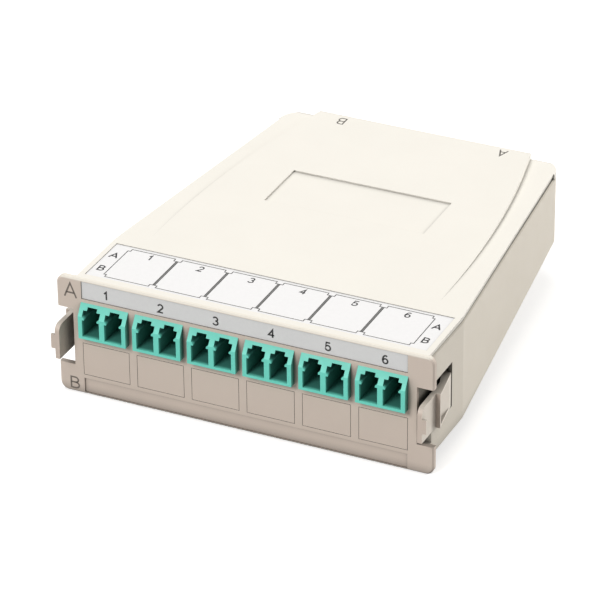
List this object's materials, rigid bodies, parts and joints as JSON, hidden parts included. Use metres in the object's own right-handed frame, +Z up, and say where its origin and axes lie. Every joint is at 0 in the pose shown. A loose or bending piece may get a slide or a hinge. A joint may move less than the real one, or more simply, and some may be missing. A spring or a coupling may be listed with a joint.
{
  "type": "fibre optic cassette",
  "caption": "Plug-in fibre optic cassette: tapered moulded housing behind an eared panel plate with duplex LC adapters, blanked bays, side latches and an MPO entry at the rear",
  "frame": {"origin": "middle of the panel opening, in the plane of the backs of the plate's ears, at the height of the latches", "axes": "+X to the right as seen from the front, +Y into the panel toward the housing's rear, +Z up"},
  "size_m": [0.1032, 0.1203, 0.0331],
  "materials": {
    "ivory_plastic": "fine moulded texture",
    "aqua_plastic": "satin moulded",
    "white_label": "matt printed card",
    "grey_label": "matt printed card",
    "black_plastic": "satin moulded",
    "beige_plastic": "satin moulded",
    "zirconia": "polished",
    "aqua_fibre": "smooth coating"
  },
  "bodies": {
    "housing": {"lower_shell": "ivory_plastic", "top_cover": "ivory_plastic", "front_plate": "ivory_plastic", "top_label": "white_label", "front_label": "grey_label", "mpo_adapter": "black_plastic", "mpo_blank": "ivory_plastic", "mpo_plug": "aqua_plastic", "fibre_comb": "black_plastic", "fibre_ribbon": "aqua_fibre", "lc_adapter_1": "aqua_plastic", "blank_insert_1": "ivory_plastic", "inner_plug_1": "beige_plastic", "lc_adapter_2": "aqua_plastic", "blank_insert_2": "ivory_plastic", "inner_plug_2": "beige_plastic", "lc_adapter_3": "aqua_plastic", "blank_insert_3": "ivory_plastic", "inner_plug_3": "beige_plastic", "lc_adapter_4": "aqua_plastic", "blank_insert_4": "ivory_plastic", "inner_plug_4": "beige_plastic", "lc_adapter_5": "aqua_plastic", "blank_insert_5": "ivory_plastic", "inner_plug_5": "beige_plastic", "lc_adapter_6": "aqua_plastic", "blank_insert_6": "ivory_plastic", "inner_plug_6": "beige_plastic", "alignment_sleeve_1": "zirconia", "pigtail_1": "aqua_fibre", "alignment_sleeve_2": "zirconia", "pigtail_2": "aqua_fibre", "alignment_sleeve_3": "zirconia", "pigtail_3": "aqua_fibre", "alignment_sleeve_4": "zirconia", "pigtail_4": "aqua_fibre", "alignment_sleeve_5": "zirconia", "pigtail_5": "aqua_fibre", "alignment_sleeve_6": "zirconia", "pigtail_6": "aqua_fibre", "alignment_sleeve_7": "zirconia", "pigtail_7": "aqua_fibre", "alignment_sleeve_8": "zirconia", "pigtail_8": "aqua_fibre", "alignment_sleeve_9": "zirconia", "pigtail_9": "aqua_fibre", "alignment_sleeve_10": "zirconia", "pigtail_10": "aqua_fibre", "alignment_sleeve_11": "zirconia", "pigtail_11": "aqua_fibre", "alignment_sleeve_12": "zirconia", "pigtail_12": "aqua_fibre"},
    "latch_left": {"latch_left": "ivory_plastic"},
    "latch_right": {"latch_right": "ivory_plastic"}
  },
  "joints": [
    {"name": "left_latch_hinge", "type": "hinge", "parent": "housing", "child": "latch_left", "pos_m": [-0.048, 0.0159, 0], "axis": [0, 0, 1], "range_deg": [0, 6], "stiffness_Nm_per_rad": 0.3},
    {"name": "right_latch_hinge", "type": "hinge", "parent": "housing", "child": "latch_right", "pos_m": [0.048, 0.0159, 0], "axis": [0, 0, -1], "range_deg": [0, 6], "stiffness_Nm_per_rad": 0.3}
  ]
}
